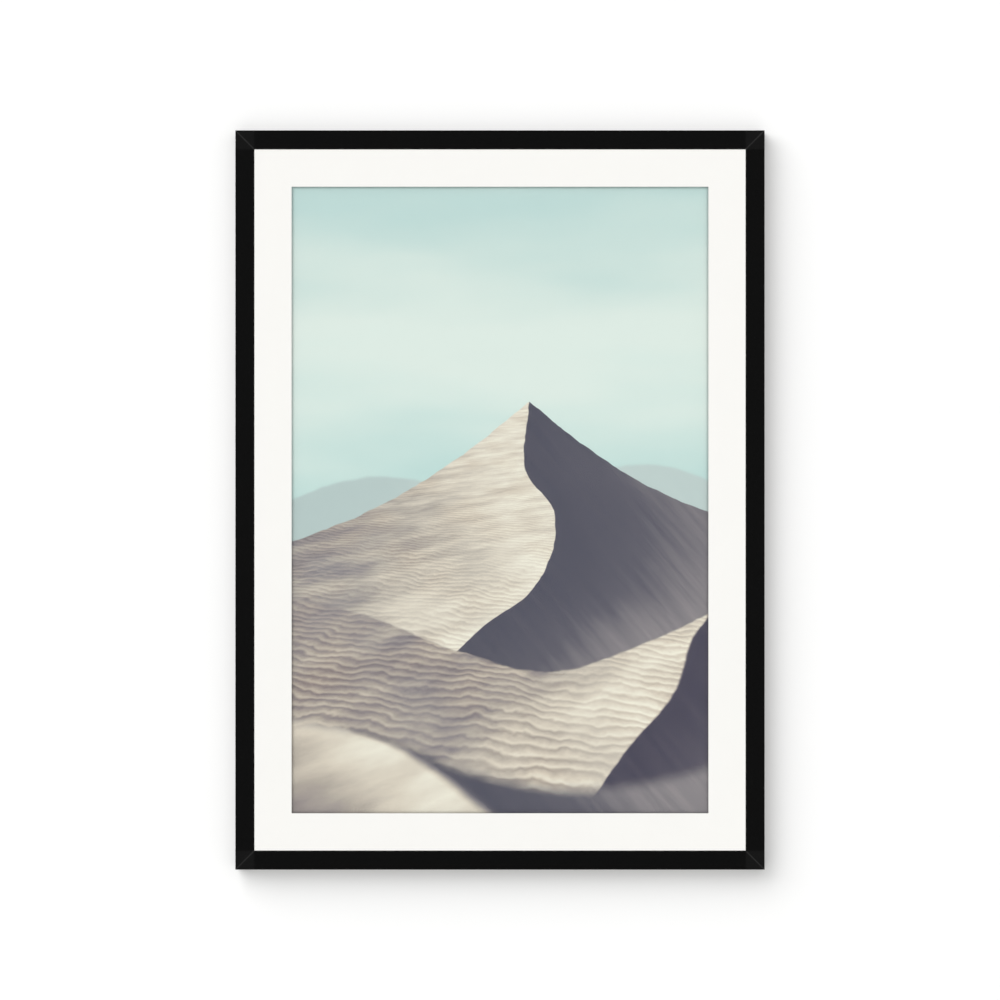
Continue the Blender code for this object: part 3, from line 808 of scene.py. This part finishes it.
def build_wall():
    """A wall that its lights lift to page white. It only shows from the front: from behind it is clear."""
    material = bpy.data.materials.new("stage_wall")
    material.use_nodes = True
    tree = material.node_tree
    tree.nodes.clear()
    white = add_node(tree, "BsdfDiffuse", [(WALL_WHITE, WALL_WHITE, WALL_WHITE, 1.0)])
    clear = add_node(tree, "BsdfTransparent")
    behind = add_node(tree, "NewGeometry").outputs["Backfacing"]
    both = add_node(tree, "MixShader", [behind, white, clear])
    add_node(tree, "OutputMaterial", [both])
    bm = bmesh.new()
    turned = Matrix.Translation((0, WALL_BEHIND, WALL_HEIGHT)) @ Matrix.Rotation(math.pi / 2, 4, "X")
    bmesh.ops.create_grid(bm, x_segments=1, y_segments=1, size=WALL_REACH, matrix=turned)
    wall = stage_piece("stage_wall", bm, material)
    wall.visible_shadow = False
    wall.visible_diffuse = False
    wall.visible_glossy = False
    return wall


def build_floor():
    """A plain pale floor, well below the frame."""
    material, _, _ = new_material(
        "stage_floor", Base_Color=linear("#F7F7F5"), Roughness=0.9, Specular_IOR_Level=0.1
    )
    bm = bmesh.new()
    lowered = Matrix.Translation((0, 0, FLOOR_Z))
    bmesh.ops.create_grid(bm, x_segments=1, y_segments=1, size=FLOOR_REACH, matrix=lowered)
    floor = stage_piece("stage_floor", bm, material)
    floor.visible_glossy = False


def build_shade_ring():
    """An unseen gauzy ring in the rails' side walls, behind the mat's face, that shades the wall softly."""
    material = bpy.data.materials.new("stage_ring")
    material.use_nodes = True
    tree = material.node_tree
    tree.nodes.clear()
    clear = add_node(tree, "BsdfTransparent")
    dark = add_node(tree, "BsdfDiffuse", [linear("#1A1A1A")])
    gauze = add_node(tree, "MixShader", [RING_COVER, clear, dark])
    add_node(tree, "OutputMaterial", [gauze])
    bm = bmesh.new()
    left, right = FRAME_LOW.x + RING_PLAY, FRAME_HIGH.x - RING_PLAY
    bottom, top = FRAME_LOW.z + RING_PLAY, FRAME_HIGH.z - RING_PLAY
    outline = ((left, bottom), (right, bottom), (right, top), (left, top))
    face = bm.faces.new([bm.verts.new((x, MAT_LOW.y, z)) for x, z in outline])
    width = RAIL_WALL - 2 * RING_PLAY
    bmesh.ops.inset_region(bm, faces=[face], thickness=width, use_even_offset=True, use_boundary=True)
    bmesh.ops.delete(bm, geom=[face], context="FACES")
    grown = bmesh.ops.extrude_face_region(bm, geom=list(bm.faces))["geom"]
    back = [item for item in grown if isinstance(item, bmesh.types.BMVert)]
    bmesh.ops.translate(bm, verts=back, vec=(0, -MAT_LOW.y, 0))
    bmesh.ops.recalc_face_normals(bm, faces=bm.faces)
    ring = stage_piece("stage_ring", bm, material)
    ring.visible_camera = False
    ring.visible_glossy = False
    ring.visible_transmission = False


def build_reflector():
    """A round screen, dim low down and bright high up, that only shows in steel, lacquer and acrylic.

    It is open in front of the picture, so that the acrylic doesn't veil the print.
    """
    material = bpy.data.materials.new("stage_reflector")
    material.use_nodes = True
    material.cycles.emission_sampling = "NONE"
    tree = material.node_tree
    tree.nodes.clear()
    place = add_node(tree, "TexCoord").outputs["Object"]
    _, _, up = add_node(tree, "SeparateXYZ", [place]).outputs
    glow = add_node(tree, "MapRange", [up, *SCREEN_GLOW], interpolation_type="SMOOTHSTEP")
    shine = add_node(tree, "Emission", {"Strength": glow})
    add_node(tree, "OutputMaterial", [shine])
    bm = bmesh.new()
    bmesh.ops.create_cone(
        bm,
        cap_ends=True,
        segments=SCREEN_SIDES,
        radius1=SCREEN_RADIUS,
        radius2=SCREEN_RADIUS,
        depth=SCREEN_HEIGHT,
    )
    opening = [face for face in bm.faces if face.calc_center_median().y < SCREEN_OPEN_FROM]
    bmesh.ops.delete(bm, geom=opening, context="FACES")
    screen = stage_piece("stage_reflector", bm, material)
    screen.visible_camera = False
    screen.visible_diffuse = False
    screen.visible_shadow = False
    screen.visible_transmission = False


def build_sun(name, toward, added, degrees, receivers):
    """A soft sun that lights only these objects. It adds this much to a surface that faces the camera."""
    toward = Vector(toward).normalized()
    sun = bpy.data.lights.new(name, "SUN")
    sun.angle = math.radians(degrees)
    sun.energy = added * math.pi / -toward.y
    lamp = bpy.data.objects.new(name, sun)
    lamp.rotation_mode = "QUATERNION"
    lamp.rotation_quaternion = toward.to_track_quat("Z", "Y")
    bpy.context.scene.collection.objects.link(lamp)
    lit = bpy.data.collections.new(f"{name}_lights")
    for receiver in receivers:
        lit.objects.link(receiver)
    lamp.light_linking.receiver_collection = lit


def build_lights(wall):
    """A pale room all round, a soft key from the top left on the object, and a key and fill on the wall."""
    world = bpy.data.worlds.new("pale_room")
    bpy.context.scene.world = world
    world.use_nodes = True
    world.cycles_visibility.glossy = False
    world.node_tree.nodes["Background"].inputs["Color"].default_value = (DOME, DOME, DOME, 1.0)
    build_sun("wall_key", (-0.63, -0.38, 0.68), WALL_KEY, 67, [wall])
    build_sun("wall_fill", (-0.5, -0.62, -0.6), WALL_FILL, 8, [wall])
    others = [made for made in bpy.context.scene.objects if made.type == "MESH" and made is not wall]
    build_sun("object_key", (-0.6, -0.6, 0.53), OBJECT_KEY, 40, others)
    bpy.context.scene.view_settings.view_transform = "Standard"


def build_camera():
    """A long lens, square on to the middle of the frame."""
    data = bpy.data.cameras.new("camera")
    data.lens = LENS
    data.sensor_width = SENSOR
    camera = bpy.data.objects.new("camera", data)
    distance = VIEW_WIDTH * LENS / SENSOR
    camera.location = (0, FRAME_LOW.y - distance, MIDDLE_Z)
    camera.rotation_euler = (math.pi / 2, 0, 0)
    bpy.context.scene.collection.objects.link(camera)
    bpy.context.scene.camera = camera


build_rails()
build_hardware()
build_pads()
dress_nodes()
stage_wall = build_wall()
build_floor()
build_shade_ring()
build_reflector()
build_lights(stage_wall)
build_camera()
